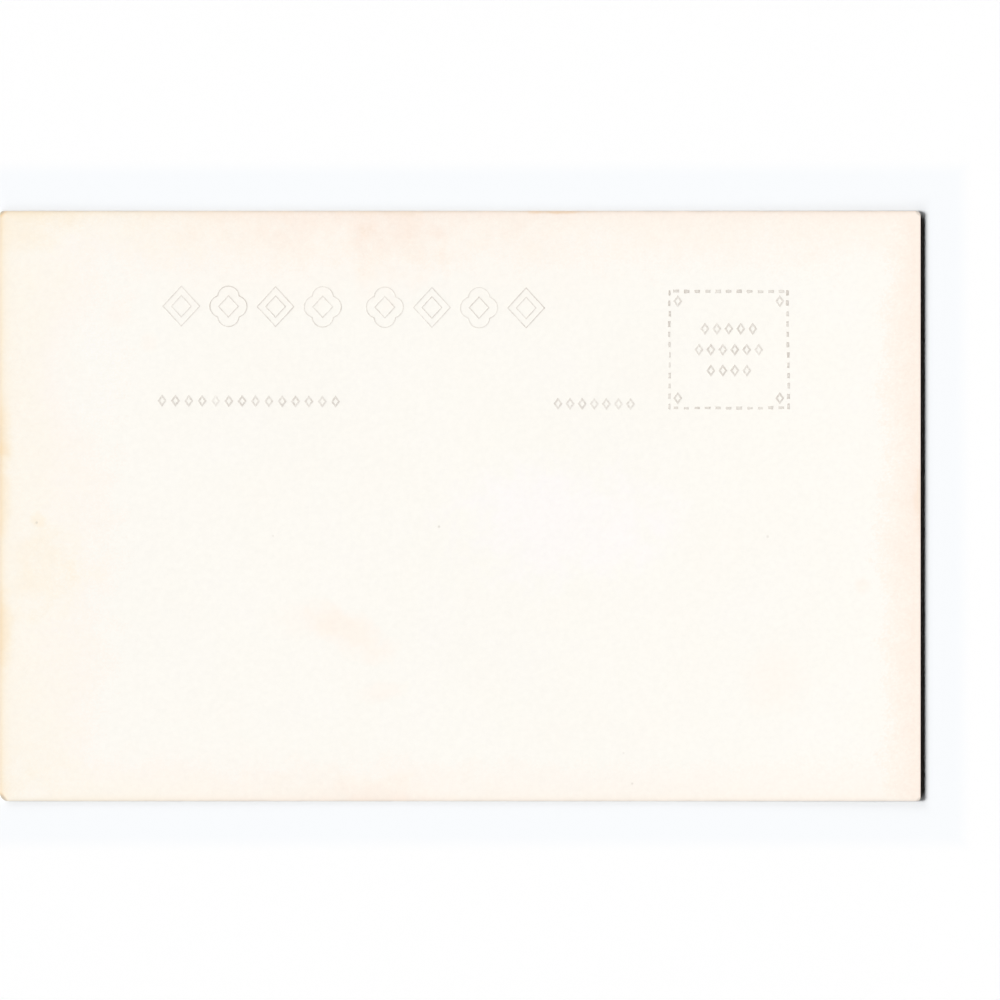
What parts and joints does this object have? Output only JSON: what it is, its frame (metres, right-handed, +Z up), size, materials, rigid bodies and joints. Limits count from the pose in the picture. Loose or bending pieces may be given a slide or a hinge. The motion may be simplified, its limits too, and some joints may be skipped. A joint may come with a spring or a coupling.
{
  "type": "postcard",
  "caption": "Old photographic postcard: a stiff paper sheet with a gelatin picture side and a faintly printed, toned back with a stamp frame.",
  "frame": {"origin": "middle of the picture face, on the surface that the card lies on", "axes": "+X along the long side towards the stamp frame, +Y towards the upper edge of the printed back, +Z up out of the printed back"},
  "size_m": [0.1386, 0.0888, 0.0003],
  "materials": {
    "card_paper": "matte",
    "baryta_white": "matte",
    "silver_emulsion": "satin",
    "clear_gelatin": "gloss",
    "letterpress_ink": "matte"
  },
  "bodies": {
    "root": {"paper_base": "card_paper", "baryta_coat": "baryta_white", "emulsion_layer": "silver_emulsion", "gelatin_overcoat": "clear_gelatin", "heading_left_group": "letterpress_ink", "heading_right_group": "letterpress_ink", "message_caption": "letterpress_ink", "address_caption": "letterpress_ink", "stamp_rule_top": "letterpress_ink", "stamp_rule_bottom": "letterpress_ink", "stamp_rule_left": "letterpress_ink", "stamp_rule_right": "letterpress_ink", "stamp_row_upper": "letterpress_ink", "stamp_row_middle": "letterpress_ink", "stamp_row_lower": "letterpress_ink", "stamp_corner_marks": "letterpress_ink"}
  },
  "joints": []
}
